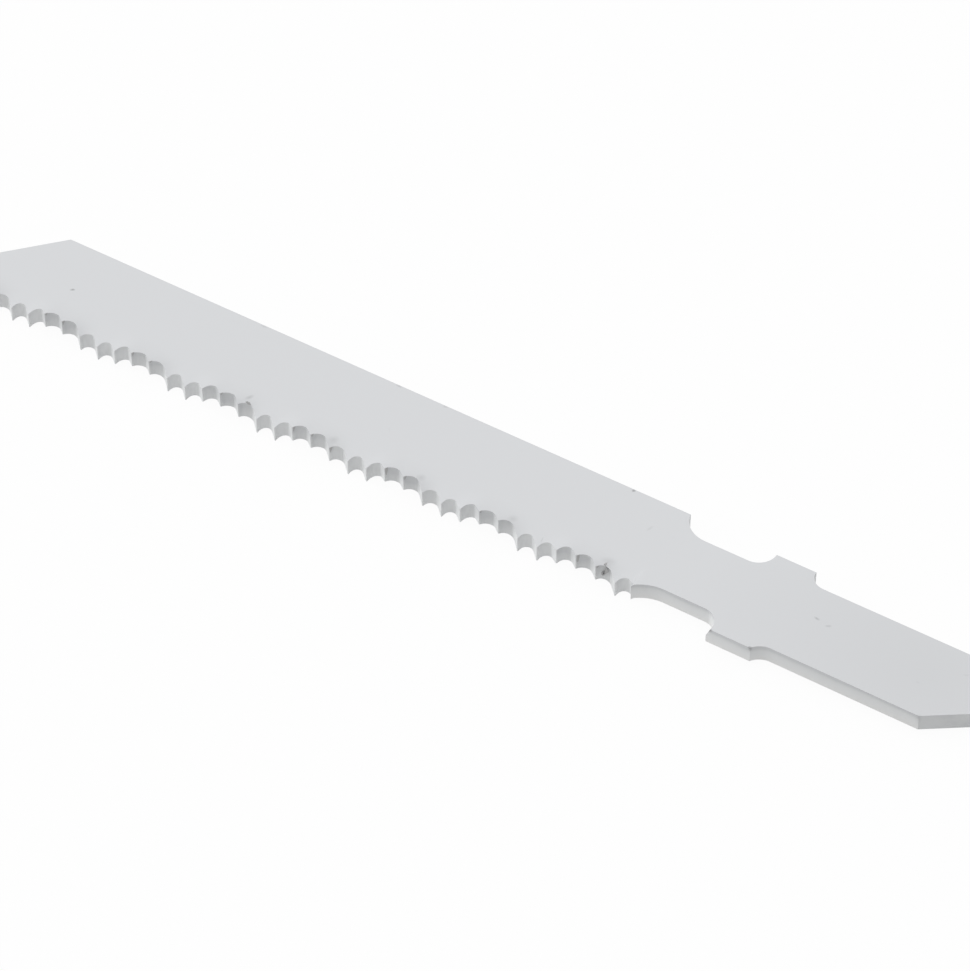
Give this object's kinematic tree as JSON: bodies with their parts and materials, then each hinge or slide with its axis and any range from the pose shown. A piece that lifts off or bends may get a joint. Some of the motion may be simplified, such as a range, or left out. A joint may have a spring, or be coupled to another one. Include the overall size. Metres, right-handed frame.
{
  "type": "jigsaw blade",
  "caption": "Flat jigsaw blade for metal with a T-shank, fine wavy-set teeth, a slanted point and a tapered tail.",
  "frame": {"origin": "on the lower face of the shank, in the middle of its two lugs", "axes": "+X along the blade from the point to the shank's end, +Y to the spine and -Y to the teeth, +Z the blade's thickness, up where the blade lies flat"},
  "size_m": [0.0694, 0.0072, 0.0018],
  "materials": {
    "blade_steel": "pale grey satin, as from fine blasting"
  },
  "bodies": {
    "root": {"blade": "blade_steel"}
  },
  "joints": []
}
